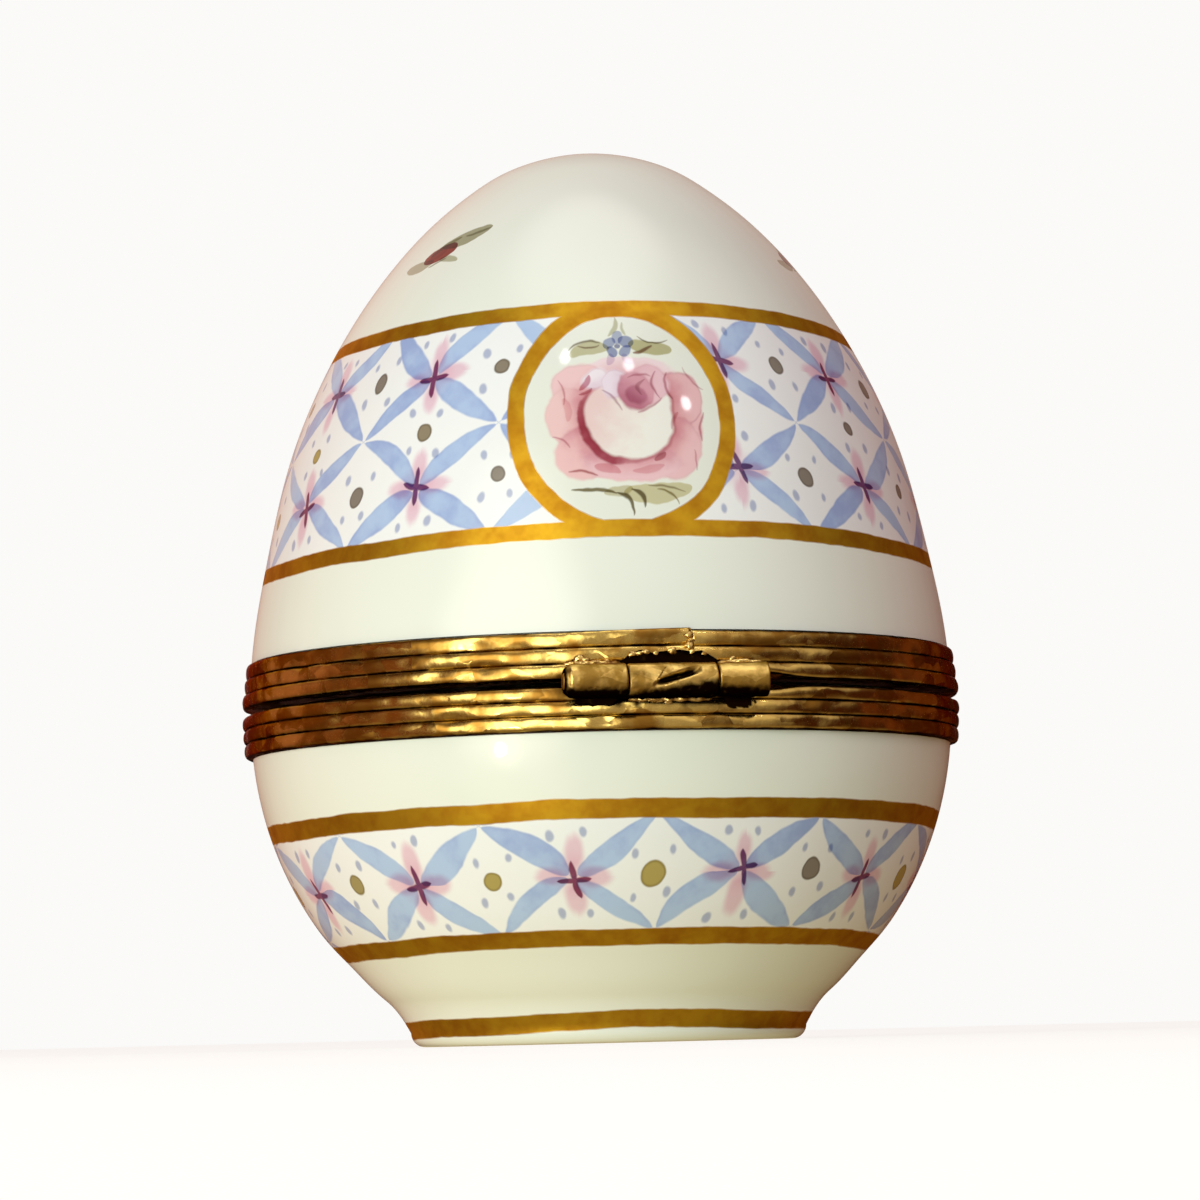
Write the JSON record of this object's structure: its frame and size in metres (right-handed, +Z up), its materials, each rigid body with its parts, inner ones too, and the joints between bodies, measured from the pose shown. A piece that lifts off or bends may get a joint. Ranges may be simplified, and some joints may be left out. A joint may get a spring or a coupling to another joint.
{
  "type": "porcelain egg box",
  "caption": "Egg-shaped glazed porcelain box on a small turned foot, with reeded brass mounts at the seam, a hinged lid and a small clasp.",
  "frame": {"origin": "centre of the foot's underside, on the surface the box stands on", "axes": "+Z up along the egg's axis, -Y towards the hinge, +Y towards the clasp, +X to the right seen from the hinge side"},
  "size_m": [0.0514, 0.0544, 0.0639],
  "materials": {
    "porcelain": "clear glaze over warm white porcelain, hand painted with a blue trellis, roses and gilt lines",
    "brass": "polished brass, softly worn and darkened in the grooves"
  },
  "bodies": {
    "base": {"base_porcelain": "porcelain", "base_mount": "brass", "hinge_knuckle_middle": "brass", "hinge_pin": "brass", "clasp_catch": "brass"},
    "lid": {"lid_porcelain": "porcelain", "lid_mount": "brass", "hinge_knuckle_left": "brass", "hinge_knuckle_right": "brass", "clasp_thumbpiece": "brass"}
  },
  "joints": [
    {"name": "lid_hinge", "type": "hinge", "parent": "base", "child": "lid", "pos_m": [0, -0.026, 0.0239], "axis": [1, 0, 0], "range_deg": [0, 105]}
  ]
}
